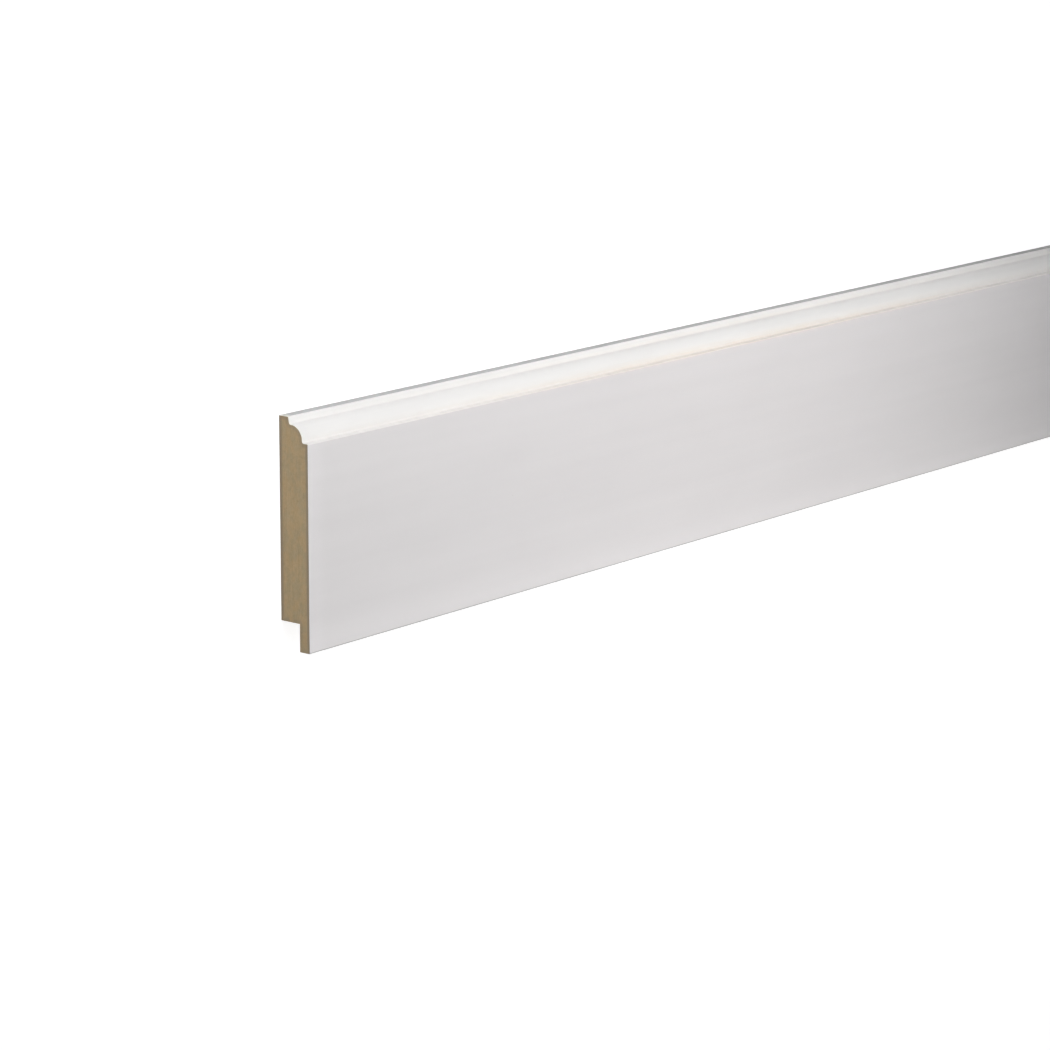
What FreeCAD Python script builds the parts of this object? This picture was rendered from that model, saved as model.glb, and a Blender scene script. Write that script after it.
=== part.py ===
"""A 2.4 m length of moulded MDF skirting board, one solid, in millimetres.

The board lies on its back, as loose stock does on a floor. X runs along the length, +Y points to the
moulded top edge and +Z out of the painted face. The origin is the middle of the footprint, so the flat
back lies in the plane Z = 0.

The real length goes through a four-sided moulder as a flat blank. One cutter runs the moulding along
the top front corner, set from the face and from the top edge, and another runs the rebate along the
bottom of the back, which leaves a thin tongue behind the face. The model is cut in the same order.
"""

import FreeCAD
import Part
import Sketcher
import math
import os

NODE = "skirting_board"

# Driving sizes of the board, each one set by itself.
DIMENSIONS = {
    "board_length": 2400.0,
    "board_width": 119.0,
    "board_thickness": 19.0,
    # The moulding, from the top edge down and out to the face. The fillet leans back towards its top.
    "fillet_height": 2.9,
    "fillet_lean": 0.45,
    "cove_radius": 1.1,
    "ovolo_radius": 7.5,
    "quirk_radius": 1.0,
    "ledge_width": 2.7,
    # The rebate along the bottom of the back.
    "rebate_height": 14.5,
    "tongue_thickness": 6.6,
    # The easing that sanding and paint leave on the arrises of the face.
    "arris_radius": 0.5,
}

# Where the faces of the section and the reach of the cutters lie, worked out from the driving sizes.
# The moulding is set from the front face, so a thinner board only thins the land left along its top.
POSITIONS = {
    "back_face": "=0",
    "front_face": "=board_thickness",
    "top_edge": "=board_width / 2",
    "bottom_edge": "=-board_width / 2",
    "fillet_slant": "=atan(fillet_lean / fillet_height)",
    "fillet_foot": "=top_edge - fillet_height",
    "cove_axis": "=fillet_foot + cove_radius * sin(fillet_slant)",
    "ovolo_axis": "=cove_axis - cove_radius - ovolo_radius",
    "ledge_face": "=ovolo_axis - quirk_radius",
    "ledge_foot": "=front_face - ledge_width",
    "moulding_axis": "=ledge_foot - quirk_radius - ovolo_radius",
    "fillet_face": "=moulding_axis - cove_radius * cos(fillet_slant)",
    "land_front": "=fillet_face - fillet_lean",
    "rebate_roof": "=bottom_edge + rebate_height",
    "tongue_back": "=front_face - tongue_thickness",
    "past_front": "=front_face + board_thickness",
    "past_back": "=back_face - board_thickness",
    "past_top": "=top_edge + board_thickness",
    "past_bottom": "=bottom_edge - board_thickness",
}

# How a constraint names the points of an element and the sketch's own origin.
START = 1
END = 2
CENTRE = 3
ORIGIN = (-1, 1)

# Directions from an arc's centre, anticlockwise from the board's top edge.
TO_TOP_EDGE = 0.0
TO_FACE = math.pi / 2
TO_FLOOR = math.pi
TO_BACK = 3 * math.pi / 2

SAME_PLACE = 1e-4


def make_sheet(doc):
    """The spreadsheet of the sizes and of the positions that follow from them."""
    sheet = doc.addObject("Spreadsheet::Sheet", "dimensions")
    cells = {**{alias: str(value) for alias, value in DIMENSIONS.items()}, **POSITIONS}
    for row, (alias, content) in enumerate(cells.items(), start=1):
        sheet.set(f"A{row}", alias)
        sheet.setAlias(f"B{row}", alias)
        sheet.set(f"B{row}", content)
    doc.recompute()
    return sheet


class Section:
    """A sketch across the middle of the board, whose x is the board's Y and whose y is its Z."""

    def __init__(self, body, sheet, name):
        self.sheet = sheet
        self.sketch = body.newObject("Sketcher::SketchObject", name)
        plane = next(item for item in body.Origin.OriginFeatures if item.Role == "YZ_Plane")
        self.sketch.AttachmentSupport = [(plane, "")]
        self.sketch.MapMode = "FlatFace"

    def tie(self, kind, *where):
        """A constraint without a size, such as Coincident or Tangent."""
        self.sketch.addConstraint(Sketcher.Constraint(kind, *where))

    def bind(self, size, kind, *where):
        """A dimension that follows the size or position of that name in the sheet."""
        value = float(getattr(self.sheet, size))
        index = self.sketch.addConstraint(Sketcher.Constraint(kind, *where, value))
        self.sketch.renameConstraint(index, size)
        self.sketch.setExpression(f"Constraints.{size}", f"dimensions.{size}")

    def at(self, across, out):
        """The point at two named positions, across the board and out of its back."""
        return FreeCAD.Vector(getattr(self.sheet, across), getattr(self.sheet, out), 0)

    def line(self, start, end, direction=None):
        """A straight run, which may be tied Horizontal across the board or Vertical through it."""
        element = self.sketch.addGeometry(Part.LineSegment(start, end), False)
        if direction:
            self.tie(direction, element)
        return element

    def arc(self, centre, size, first_angle, last_angle):
        """An arc with a named radius, anticlockwise about its centre."""
        circle = Part.Circle(centre, FreeCAD.Vector(0, 0, 1), getattr(self.sheet, size))
        element = self.sketch.addGeometry(Part.ArcOfCircle(circle, first_angle, last_angle), False)
        self.bind(size, "Radius", element)
        return element

    def rectangle(self, bottom, top, back, front):
        """A closed rectangle with its sides at four named positions."""
        corners = [self.at(bottom, back), self.at(top, back), self.at(top, front), self.at(bottom, front)]
        directions = ["Horizontal", "Vertical", "Horizontal", "Vertical"]
        sides = [self.line(*side) for side in zip(corners, corners[1:] + corners[:1], directions)]
        for before, after in zip(sides, sides[1:] + sides[:1]):
            self.tie("Coincident", before, END, after, START)
        self.bind(back, "DistanceY", *ORIGIN, sides[0], START)
        self.bind(top, "DistanceX", *ORIGIN, sides[1], START)
        self.bind(front, "DistanceY", *ORIGIN, sides[2], START)
        self.bind(bottom, "DistanceX", *ORIGIN, sides[3], START)


def saw_blank(doc, body, sheet):
    """The flat blank, padded both ways from the middle of its length."""
    section = Section(body, sheet, "blank_section")
    section.rectangle("bottom_edge", "top_edge", "back_face", "front_face")
    blank = body.newObject("PartDesign::Pad", "blank")
    blank.Profile = section.sketch
    blank.SideType = "Symmetric"
    blank.setExpression("Length", "dimensions.board_length")
    doc.recompute()


def run_cutter(doc, body, section, name):
    """One pass of a cutter along the whole board, which has to take wood away."""
    before = body.Shape.Volume
    cut = body.newObject("PartDesign::Pocket", name)
    cut.Profile = section.sketch
    cut.SideType = "Symmetric"
    cut.Type = "ThroughAll"
    doc.recompute()
    if body.Shape.Volume >= before:
        raise RuntimeError(f"{name} cuts nothing")


def mould_top(doc, body, sheet):
    """The moulding of the top front corner: fillet, cove, ovolo, quirk and the ledge at its foot."""
    section = Section(body, sheet, "moulding_section")
    land_corner = section.at("top_edge", "land_front")
    fillet_foot = section.at("fillet_foot", "fillet_face")
    ledge_foot = section.at("ledge_face", "ledge_foot")
    quirk_centre = ledge_foot + FreeCAD.Vector(sheet.quirk_radius, 0, 0)
    over_land = section.at("past_top", "land_front")
    over_face = section.at("ledge_face", "past_front")
    over_corner = section.at("past_top", "past_front")
    fillet_direction = TO_BACK - sheet.fillet_slant.getValueAs("rad").Value

    land = section.line(over_land, land_corner, "Horizontal")
    fillet = section.line(land_corner, fillet_foot)
    cove = section.arc(section.at("cove_axis", "moulding_axis"), "cove_radius", TO_FLOOR, fillet_direction)
    ovolo = section.arc(section.at("ovolo_axis", "moulding_axis"), "ovolo_radius", TO_TOP_EDGE, TO_FACE)
    quirk = section.arc(quirk_centre, "quirk_radius", TO_FLOOR, TO_BACK)
    ledge = section.line(ledge_foot, over_face, "Vertical")
    front = section.line(over_face, over_corner, "Horizontal")
    top = section.line(over_corner, over_land, "Vertical")

    section.tie("Coincident", land, END, fillet, START)
    section.tie("Tangent", fillet, END, cove, END)
    section.tie("Horizontal", cove, CENTRE, cove, START)
    section.tie("Tangent", cove, START, ovolo, START)
    section.tie("Vertical", ovolo, CENTRE, ovolo, END)
    section.tie("Tangent", ovolo, END, quirk, END)
    section.tie("Tangent", quirk, START, ledge, START)
    section.tie("Coincident", ledge, END, front, START)
    section.tie("Coincident", front, END, top, START)
    section.tie("Coincident", top, END, land, START)
    section.bind("top_edge", "DistanceX", *ORIGIN, fillet, START)
    section.bind("fillet_foot", "DistanceX", *ORIGIN, fillet, END)
    section.bind("fillet_lean", "DistanceY", fillet, START, fillet, END)
    section.bind("ledge_foot", "DistanceY", *ORIGIN, ledge, START)
    section.bind("past_front", "DistanceY", *ORIGIN, front, START)
    section.bind("past_top", "DistanceX", *ORIGIN, top, START)
    run_cutter(doc, body, section, "moulding")


def rebate_back(doc, body, sheet):
    """The rebate along the bottom of the back, with the tongue left in front of it."""
    section = Section(body, sheet, "rebate_section")
    section.rectangle("past_bottom", "rebate_roof", "past_back", "tongue_back")
    run_cutter(doc, body, section, "rebate")


def ease_arrises(doc, body, sheet):
    """Small radii on the long arrises that are painted: top, ledge and bottom, all on the face side."""
    arrises = [
        FreeCAD.Vector(0, sheet.top_edge, sheet.land_front),
        FreeCAD.Vector(0, sheet.ledge_face, sheet.front_face),
        FreeCAD.Vector(0, sheet.bottom_edge, sheet.front_face),
    ]
    names = [
        f"Edge{number}"
        for number, edge in enumerate(body.Shape.Edges, start=1)
        if any(edge.CenterOfMass.distanceToPoint(arris) < SAME_PLACE for arris in arrises)
    ]
    if len(names) != len(arrises):
        raise RuntimeError(f"{len(names)} of {len(arrises)} arrises found")
    cut_board = body.Tip
    easing = body.newObject("PartDesign::Fillet", "eased_arrises")
    easing.Base = (cut_board, names)
    easing.setExpression("Radius", "dimensions.arris_radius")
    doc.recompute()


def build_board(doc, sheet):
    """The board as one body: a sawn blank, then the moulding, the rebate and the eased arrises."""
    body = doc.addObject("PartDesign::Body", NODE)
    body.Label = NODE
    body.Placement = FreeCAD.Placement()
    saw_blank(doc, body, sheet)
    mould_top(doc, body, sheet)
    rebate_back(doc, body, sheet)
    ease_arrises(doc, body, sheet)
    return body


def check(doc, body):
    """Stop if a feature failed or the board isn't one sound solid."""
    failed = [item.Name for item in doc.Objects if {"Invalid", "Error"} & set(item.State)]
    if failed:
        raise RuntimeError(f"failed objects: {failed}")
    loose = [item.Name for item in doc.findObjects("Sketcher::SketchObject") if not item.FullyConstrained]
    if loose:
        raise RuntimeError(f"sketches that can still move: {loose}")
    if body.Shape.isNull() or not body.Shape.isValid():
        raise RuntimeError(f"{body.Label} has no sound shape")
    if len(body.Shape.Solids) != 1:
        raise RuntimeError(f"{body.Label} is {len(body.Shape.Solids)} solids")


def main():
    """Build the board, check it and write its STEP file."""
    doc = FreeCAD.newDocument("skirting_board_length")
    sheet = make_sheet(doc)
    body = build_board(doc, sheet)
    doc.recompute()
    check(doc, body)
    os.makedirs("parts", exist_ok=True)
    body.Shape.exportStep(os.path.join("parts", f"{body.Label}.step"))
    box = body.Shape.BoundBox
    print(f"{body.Label}: {box.XLength:.1f} x {box.YLength:.1f} x {box.ZLength:.1f} mm, "
          f"{body.Shape.Volume / 1000:.1f} cm3")


main()
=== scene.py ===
"""A primed MDF skirting board length on a plain pale floor, seen from above one cut end.

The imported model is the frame: the board lies on its back, X along its length, +Y towards the moulded top
edge and +Z out of the painted face. All lengths are in metres. The dressed board stands for the one node
of the frame and keeps inside its box. It adds what the plain solid lacks: finely stepped mouldings,
broken edges at the saw cuts, the rim of the primer film and the relief of the sawn ends.
"""

import logging
import math
import random
from dataclasses import dataclass, field
from enum import Enum

import bpy
import numpy as np
from mathutils import Matrix, Vector, noise
from mathutils.geometry import delaunay_2d_cdt


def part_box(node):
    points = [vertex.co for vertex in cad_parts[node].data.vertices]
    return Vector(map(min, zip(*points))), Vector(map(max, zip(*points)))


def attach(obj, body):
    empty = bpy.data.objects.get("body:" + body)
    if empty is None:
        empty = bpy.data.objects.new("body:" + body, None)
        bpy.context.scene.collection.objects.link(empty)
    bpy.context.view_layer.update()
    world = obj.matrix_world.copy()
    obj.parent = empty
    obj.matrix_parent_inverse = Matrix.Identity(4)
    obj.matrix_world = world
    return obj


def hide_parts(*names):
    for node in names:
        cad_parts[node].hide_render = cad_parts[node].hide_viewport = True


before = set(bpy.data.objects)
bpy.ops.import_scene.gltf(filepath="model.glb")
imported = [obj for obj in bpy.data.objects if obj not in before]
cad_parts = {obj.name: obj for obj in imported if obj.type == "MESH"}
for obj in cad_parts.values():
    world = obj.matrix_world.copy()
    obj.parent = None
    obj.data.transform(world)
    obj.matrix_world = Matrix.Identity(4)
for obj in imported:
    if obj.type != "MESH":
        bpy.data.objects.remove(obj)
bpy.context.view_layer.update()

log = logging.getLogger("skirting_board")

MM = 0.001
NODE = "skirting_board"
BAKE_MAP = "OFBake"

Colour = tuple[float, float, float]
Grain = tuple[float, float, float]
Place = tuple[float, float, float]
Point = tuple[float, float]
Value = float | tuple[float, ...] | bpy.types.NodeSocket

WHITE = (1.0, 1.0, 1.0)


class Zone(Enum):
    """How a stretch of the board's surface was finished; the value is its material's place on the piece."""

    # The face's finish carries a darker copy of the primer as painted shade.
    FACE = 0
    MOULDING = 1
    # The top edge's finish carries a darker grey copy of the primer as painted shade.
    TOP_EDGE = 2
    SAWN_END = 3
    BARE_BACK = 4


class Side(Enum):
    """The two sawn ends; the value points out of the board along X."""

    NEAR = -1
    FAR = 1


def put_in_scene(name: str, data: bpy.types.ID) -> bpy.types.Object:
    """Makes an object and links it to the scene.

    Args:
        name: The object's name.
        data: Its mesh, lamp or camera.

    Returns:
        The object.
    """
    made = bpy.data.objects.new(name, data)
    bpy.context.scene.collection.objects.link(made)
    return made


@dataclass
class Outline:
    """The closed section, anticlockwise with +Y to the right and +Z up.

    Each point starts the edge that carries its zone. From 0 to 1, thin says how thin the primer lies
    there, spray how much stray primer has settled on bare board, and the last value how much painted
    shade greys the coat: in the hollows of the moulding and as a dark line along the foot arris.
    """

    points: np.ndarray
    zones: list[Zone]
    thin: np.ndarray
    spray: np.ndarray
    painted_shade: np.ndarray

    def normals(self) -> np.ndarray:
        """Works out which way the surface faces.

        Returns:
            A unit vector out of the board at each point, halfway between its two edges.
        """
        forward = np.roll(self.points, -1, axis=0) - self.points
        forward /= np.linalg.norm(forward, axis=1, keepdims=True)
        tangent = forward + np.roll(forward, 1, axis=0)
        tangent /= np.linalg.norm(tangent, axis=1, keepdims=True)
        return np.stack([tangent[:, 1], -tangent[:, 0]], axis=1)


@dataclass
class MouldedSection:
    """The board's cross-section as the moulder and the sander leave it, in metres and degrees."""

    width: float
    thickness: float
    fillet_height: float = 2.9 * MM
    fillet_lean: float = 0.45 * MM
    cove_radius: float = 1.1 * MM
    ovolo_radius: float = 7.5 * MM
    quirk_radius: float = 1.0 * MM
    ledge_width: float = 2.7 * MM
    rebate_height: float = 14.5 * MM
    tongue_thickness: float = 6.6 * MM
    arris_radius: float = 0.5 * MM
    bare_arris: float = 0.25 * MM
    arc_step: float = 6.0
    fewest_arc_steps: int = 3
    first_step: float = 0.2 * MM
    step_growth: float = 1.7
    longest_step: float = 9.0 * MM

    def __post_init__(self) -> None:
        """Starts with no points drawn."""
        self._rows: list[tuple[float, float, Zone, float, float, float]] = []

    def _straight(self, start: Point, end: Point, zone: Zone, thin: Point = (0, 0), spray: Point = (0, 0),
                  reach: float = 2.5 * MM, ground: float = 0.0) -> None:
        """Draws a flat, with points that crowd towards its two arrises.

        Args:
            start: First corner, which is drawn.
            end: Last corner, which the next stretch draws.
            zone: How the flat is finished.
            thin: Thinness of the primer at the start and at the end.
            spray: Stray primer at the start and at the end.
            reach: How far from a corner those values fade out.
            ground: Thinness of the primer that is left away from them.
        """
        length = math.dist(start, end)
        marks, step, place = [0.0], self.first_step, self.first_step
        while place < length / 2:
            marks.append(place)
            step = min(step * self.step_growth, self.longest_step)
            place += step
        marks += [length - mark for mark in reversed(marks[1:])]
        for mark in marks:
            share = mark / length
            near, far = math.exp(-mark / reach), math.exp(-(length - mark) / reach)
            self._rows.append((
                start[0] + (end[0] - start[0]) * share,
                start[1] + (end[1] - start[1]) * share,
                zone,
                min(1.0, ground + thin[0] * near + thin[1] * far),
                min(1.0, spray[0] * near + spray[1] * far),
                0.0,
            ))

    def _arc(self, centre: Point, radius: float, first: float, last: float, zone: Zone,
             thin: Point = (0, 0), spray: float = 0.0, painted_shade: Point = (0, 0), fade: float = 1.0) -> None:
        """Draws an arc, up to but not with its last point.

        Args:
            centre: Centre of the arc.
            radius: Radius of the arc.
            first: Direction of its first point, in degrees from +Y towards +Z.
            last: Direction of its last point.
            zone: How the arc is finished.
            thin: Thinness of the primer at its start and at its end.
            spray: Stray primer on it.
            painted_shade: How much painted shade greys it at its start and at its end.
            fade: How soon thinness and soil fade from either end.
        """
        steps = max(self.fewest_arc_steps, round(abs(last - first) / self.arc_step))
        for number in range(steps):
            share = number / steps
            near, far = (1 - share) ** fade, share ** fade
            angle = math.radians(first + (last - first) * share)
            self._rows.append((
                centre[0] + radius * math.cos(angle), centre[1] + radius * math.sin(angle), zone,
                thin[0] * near + thin[1] * far, spray, painted_shade[0] * near + painted_shade[1] * far,
            ))

    def outline(self) -> Outline:
        """Draws the whole section.

        Returns:
            The closed outline, from the lower corner of the back and round by the top edge.
        """
        self._rows.clear()
        top, foot, front = self.width / 2, -self.width / 2, self.thickness
        bare, arris = self.bare_arris, self.arris_radius
        slant = math.atan2(self.fillet_lean, self.fillet_height)
        axis_z = front - self.ledge_width - self.quirk_radius - self.ovolo_radius
        cove_y = top - self.fillet_height + self.cove_radius * math.sin(slant)
        ovolo_y = cove_y - self.cove_radius - self.ovolo_radius
        ledge_y = ovolo_y - self.quirk_radius
        fillet_z = axis_z - self.cove_radius * math.cos(slant)
        land_z = fillet_z - self.fillet_lean
        roof_y = foot + self.rebate_height
        tongue_z = front - self.tongue_thickness
        turn = math.pi / 2 - slant
        tangent = arris * math.tan(turn / 2)
        fillet_top = (top - tangent * math.cos(slant), land_z + tangent * math.sin(slant))
        back, face, moulding = Zone.BARE_BACK, Zone.FACE, Zone.MOULDING

        self._straight((roof_y + bare, 0), (top - bare, 0), back, spray=(0, 0.9), reach=5 * MM)
        self._arc((top - bare, bare), bare, 270, 360, back, spray=1.0)
        self._straight((top, bare), (top, land_z - tangent), Zone.TOP_EDGE, thin=(0.5, 0.1), reach=0.6 * MM)
        self._arc((top - arris, land_z - tangent), arris, 0, math.degrees(turn), moulding, thin=(0.1, 0.1))
        self._straight(fillet_top, (top - self.fillet_height, fillet_z), moulding, thin=(0.1, 0.4),
                       reach=1.0 * MM)
        # Painted shade greys the valley between the cove and the ovolo, and the ovolo's foot by the quirk.
        self._arc((cove_y, axis_z), self.cove_radius, 270 - math.degrees(slant), 180, moulding,
                  thin=(0.35, 0.2), painted_shade=(0.0, 0.07))
        self._arc((ovolo_y, axis_z), self.ovolo_radius, 0, 90, moulding, thin=(0.2, 0.85), painted_shade=(0.07, 0.05),
                  fade=5.0)
        self._arc((ovolo_y, front - self.ledge_width), self.quirk_radius, 270, 180, moulding,
                  thin=(0.85, 0.95), painted_shade=(0.05, 0.0))
        self._straight((ledge_y, front - self.ledge_width), (ledge_y, front - arris), moulding,
                       thin=(0.95, 0.95))
        self._arc((ledge_y - arris, front - arris), arris, 0, 90, moulding, thin=(0.95, 0.8))
        self._straight((ledge_y - arris, front), (foot + arris, front), face, thin=(0.8, 0.1),
                       reach=0.9 * MM, ground=0.12)
        # A dark line of painted shade runs along the foot arris.
        self._arc((foot + arris, front - arris), arris, 90, 180, face, thin=(0.1, 0.3), painted_shade=(0.9, 0.9))
        self._straight((foot, front - arris), (foot, tongue_z + bare), back, spray=(1.0, 0.5))
        self._arc((foot + bare, tongue_z + bare), bare, 180, 270, back, spray=0.5)
        self._straight((foot + bare, tongue_z), (roof_y, tongue_z), back, spray=(0.5, 0.0), reach=4 * MM)
        self._straight((roof_y, tongue_z), (roof_y, bare), back)
        self._arc((roof_y + bare, bare), bare, 180, 270, back)

        rows = self._rows
        return Outline(
            points=np.array([row[:2] for row in rows]),
            zones=[row[2] for row in rows],
            thin=np.array([row[3] for row in rows]),
            spray=np.array([row[4] for row in rows]),
            painted_shade=np.array([row[5] for row in rows]),
        )


@dataclass
class SawnEnd:
    """The relief of one sawn end: its broken edge, the rim of the film and the torn fibres inside it.

    A grain's two sizes are those across the board and through its thickness.
    """

    outline: Outline
    side: Side
    half_length: float
    seed: int
    painted_break: float = 0.10 * MM
    bare_break: float = 0.07 * MM
    break_steps: int = 4
    chip_grain: Point = (1.7 * MM, 1.7 * MM)
    chip_share: float = 0.9
    least_chip: float = 0.5
    most_chip: float = 1.8
    painted_rim: float = 0.09 * MM
    bare_rim: float = 0.05 * MM
    grid_step: float = 0.42 * MM
    grid_jitter: float = 0.3
    grid_margin: float = 0.45
    saw_radius: float = 150.0 * MM
    saw_centre: Point = (-60.0 * MM, -130.0 * MM)
    saw_pitch: float = 1.3 * MM
    saw_depth: float = 0.016 * MM
    saw_wander: float = 2.2
    wander_grain: Point = (9.0 * MM, 9.0 * MM)
    fibre_depth: float = 0.05 * MM
    fibre_level: float = 0.35
    long_grain: Point = (1.5 * MM, 0.5 * MM)
    long_share: float = 0.5
    short_grain: Point = (0.7 * MM, 0.45 * MM)
    short_share: float = 0.4
    pits: int = 90
    pit_size: Point = (0.2 * MM, 0.55 * MM)
    pit_depth: Point = (0.033 * MM, 0.11 * MM)
    pit_reach: float = 3.0

    def __post_init__(self) -> None:
        """Draws how far the edge is broken at each point of the outline, and scatters the pits."""
        draw = random.Random(self.seed)
        bare = np.array([float(zone is Zone.BARE_BACK) for zone in self.outline.zones])
        bare = (np.roll(bare, 1) + 2 * bare + np.roll(bare, -1)) / 4
        self.rim_widths = self.painted_rim + (self.bare_rim - self.painted_rim) * bare
        base = self.painted_break + (self.bare_break - self.painted_break) * bare
        chip = np.array([self._noise(place, self.chip_grain) for place in self.outline.points])
        self.radii = base * np.clip(1.0 + self.chip_share * chip, self.least_chip, self.most_chip)
        low, high = self.outline.points.min(axis=0), self.outline.points.max(axis=0)
        self.pit_places = [
            (draw.uniform(low[0], high[0]), draw.uniform(low[1], high[1]), draw.uniform(*self.pit_size),
             draw.uniform(*self.pit_depth))
            for _ in range(self.pits)
        ]

    def _noise(self, place: Point, grain: Point, layer: int = 0) -> float:
        """Soft noise from about -1 to 1, with its own pattern on each layer."""
        return noise.noise(Vector((place[0] / grain[0], place[1] / grain[1], self.seed + layer)))

    def rings(self) -> list[np.ndarray]:
        """The outline's rings round the broken edge.

        Returns:
            Arrays of points in X, Y and Z, from the first full section to the plane of the cut.
        """
        normals = self.outline.normals()
        rings = []
        for number in range(self.break_steps + 1):
            angle = math.pi / 2 * (1 - number / self.break_steps)
            inset = self.radii * (1 - math.sin(angle))
            depth = self.radii * (1 - math.cos(angle))
            section = self.outline.points - normals * inset[:, None]
            x = self.side.value * (self.half_length - depth)
            rings.append(np.column_stack([x, section]))
        return rings

    def film_ring(self) -> np.ndarray:
        """Draws the ring where the rim of the film ends and the bare core of the cut begins.

        Returns:
            Its points in X, Y and Z.
        """
        inset = self.radii + self.rim_widths
        section = self.outline.points - self.outline.normals() * inset[:, None]
        x = np.full(len(section), self.side.value * self.half_length)
        return np.column_stack([x, section])

    def depth(self, y: float, z: float) -> float:
        """How deep the cut lies at a place.

        Args:
            y: Place across the board.
            z: Place through its thickness.

        Returns:
            The depth below the plane of the end, never negative.
        """
        place = (y, z)
        reach = math.dist(place, self.saw_centre) - self.saw_radius
        wander = self._noise(place, self.wander_grain, layer=5)
        saw = 0.5 + 0.5 * math.sin(2 * math.pi * reach / self.saw_pitch + self.saw_wander * wander)
        long_fibre = self._noise(place, self.long_grain)
        short_fibre = self._noise(place, self.short_grain, layer=9)
        torn = max(0.0, self.fibre_level + self.long_share * long_fibre + self.short_share * short_fibre)
        pit = sum(
            deep * math.exp(-(((y - pit_y) / size) ** 2 + ((z - pit_z) / size) ** 2))
            for pit_y, pit_z, size, deep in self.pit_places
            if abs(y - pit_y) < self.pit_reach * size
        )
        return self.saw_depth * saw + self.fibre_depth * torn + pit

    def core(self, ring: np.ndarray) -> tuple[list[tuple[float, float, float]], list[tuple[int, int, int]]]:
        """Fills the ring with the relief of the cut.

        Args:
            ring: Points of the film ring.

        Returns:
            The points inside the ring, and triangles that count the ring's points first.
        """
        draw = random.Random(self.seed + 1)
        loop = ring[:, 1:]
        low, high = loop.min(axis=0), loop.max(axis=0)
        step, jitter = self.grid_step, self.grid_jitter
        inner = [
            (y + draw.uniform(-jitter, jitter) * step, z + draw.uniform(-jitter, jitter) * step)
            for y in np.arange(low[0], high[0], step)
            for z in np.arange(low[1], high[1], step)
        ]
        inner = [place for place in inner if self._is_inside(place, loop)]
        flat = [Vector(place) / MM for place in [*map(tuple, loop), *inner]]
        border = list(range(len(loop)))
        edges = list(zip(border, border[1:] + border[:1]))
        keep_inside, same_place = 1, 1e-6
        made = delaunay_2d_cdt(flat, edges, [border], keep_inside, same_place)
        first_of = [sources[0] for sources in made[3]]
        triangles = [tuple(first_of[corner] for corner in face) for face in made[2]]
        points = [
            (self.side.value * (self.half_length - self.depth(y, z)), y, z) for y, z in inner
        ]
        return points, triangles

    def _is_inside(self, place: Point, loop: np.ndarray) -> bool:
        """Tells whether a place lies inside the loop and clear of its edge.

        Args:
            place: The place across the board and through its thickness.
            loop: Points of the loop.

        Returns:
            True where a point of the cut's relief may lie.
        """
        y, z = place
        after = np.roll(loop, -1, axis=0)
        crosses = (loop[:, 1] > z) != (after[:, 1] > z)
        rise = np.where(crosses, after[:, 1] - loop[:, 1], 1.0)
        meets = loop[:, 0] + (z - loop[:, 1]) / rise * (after[:, 0] - loop[:, 0])
        if np.count_nonzero(crosses & (y < meets)) % 2 == 0:
            return False
        along = after - loop
        share = np.clip(((place - loop) * along).sum(axis=1) / (along ** 2).sum(axis=1), 0, 1)
        gap = np.linalg.norm(loop + along * share[:, None] - place, axis=1)
        return bool(gap.min() > self.grid_margin * self.grid_step)


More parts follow.
